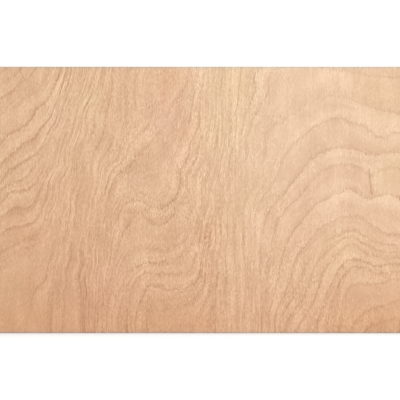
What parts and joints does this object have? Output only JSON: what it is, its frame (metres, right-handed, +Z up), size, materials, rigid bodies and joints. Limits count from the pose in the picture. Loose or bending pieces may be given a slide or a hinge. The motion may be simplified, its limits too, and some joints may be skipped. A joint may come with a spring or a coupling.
{
  "type": "plywood sheet",
  "caption": "Flat rectangular plywood sheet with a figured hardwood face veneer and sawn edges that show its cross-laid plies; used as panel, shelf or lining stock.",
  "frame": {"origin": "centre of the back face, on which the sheet lies", "axes": "+X along the sheet's length, +Y across it and along the face grain, +Z up out of the better face"},
  "size_m": [1.22, 0.61, 0.018],
  "materials": {
    "plywood": "matte"
  },
  "bodies": {
    "root": {"plywood_sheet": "plywood"}
  },
  "joints": []
}
